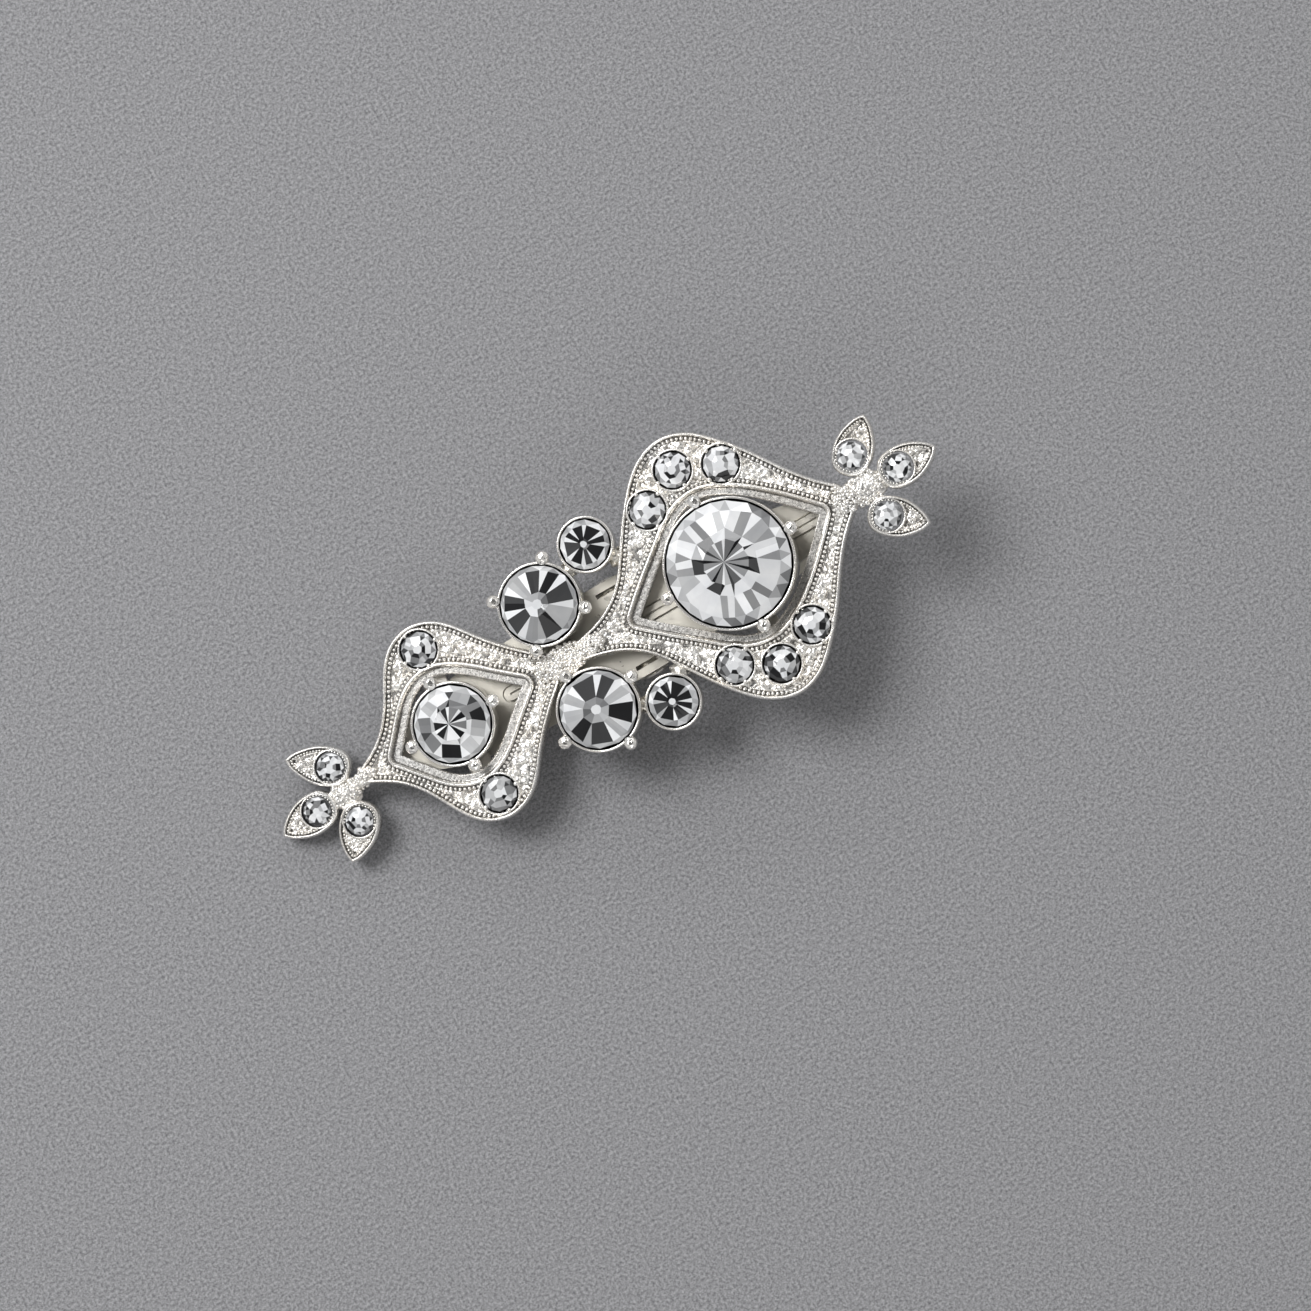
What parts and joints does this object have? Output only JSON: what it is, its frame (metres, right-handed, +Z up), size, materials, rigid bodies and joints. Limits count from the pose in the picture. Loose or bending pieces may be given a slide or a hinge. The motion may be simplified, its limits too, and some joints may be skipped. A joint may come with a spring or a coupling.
{
  "type": "rhinestone hair clip",
  "caption": "Jewelled hair clip: two cast diamond frames, leaf sprigs and cupped crystal stones on a sprung alligator clip with a toothed lower jaw that pivots open.",
  "frame": {"origin": "bottom centre of the box round the closed clip as it rests on a table, on the tip of the lower jaw and the end of the lower lever", "axes": "+X along the clip from the small frame's sprig to the large frame's sprig, +Y across it, +Z up from the table"},
  "size_m": [0.069, 0.0264, 0.0143],
  "materials": {
    "silver_casting": "bright silver plate over cast white metal, with a darker pebbled ground",
    "silver_cup": "bright silver plate, polished by tumbling",
    "crystal": "clear faceted crystal with a silvered foil back",
    "clip_steel": "bright nickel plate with a warm cast, polished sheet",
    "pin_steel": "nickel-plated rivet",
    "spring_steel": "drawn wire, nickel plated",
    "silver_bar": "plated strip, unpolished at the back",
    "solder": "plated solder, slightly dull"
  },
  "bodies": {
    "ornament": {"small_frame": "silver_casting", "large_frame": "silver_casting", "centre_boss": "silver_casting", "left_sprig": "silver_casting", "right_sprig": "silver_casting", "large_cup": "silver_cup", "small_frame_cup": "silver_cup", "upper_side_cup": "silver_cup", "lower_side_cup": "silver_cup", "upper_end_cup": "silver_cup", "lower_end_cup": "silver_cup", "large_stone": "crystal", "small_frame_stone": "crystal", "upper_side_stone": "crystal", "lower_side_stone": "crystal", "upper_end_stone": "crystal", "lower_end_stone": "crystal", "small_frame_flush_stone_upper": "crystal", "small_frame_flush_stone_lower": "crystal", "large_frame_flush_stone_inner_upper": "crystal", "large_frame_flush_stone_middle_upper": "crystal", "large_frame_flush_stone_outer_upper": "crystal", "large_frame_flush_stone_inner_lower": "crystal", "large_frame_flush_stone_middle_lower": "crystal", "large_frame_flush_stone_outer_lower": "crystal", "left_leaf_stone_upper": "crystal", "left_leaf_stone_tip": "crystal", "left_leaf_stone_lower": "crystal", "right_leaf_stone_upper": "crystal", "right_leaf_stone_tip": "crystal", "right_leaf_stone_lower": "crystal", "upper_blade": "clip_steel", "hinge_pin": "pin_steel", "torsion_spring": "spring_steel", "front_cross_bar": "silver_bar", "rear_cross_bar": "silver_bar", "solder_pads": "solder", "cup_links": "solder"},
    "jaw": {"lower_blade": "clip_steel"}
  },
  "joints": [
    {"name": "jaw_hinge", "type": "hinge", "parent": "ornament", "child": "jaw", "pos_m": [0.00261, 0, 0.00331], "axis": [0, -1, 0], "range_deg": [0, 18], "stiffness_Nm_per_rad": 0.06, "springref_deg": -45.84, "deforming": ["torsion_spring"]}
  ]
}
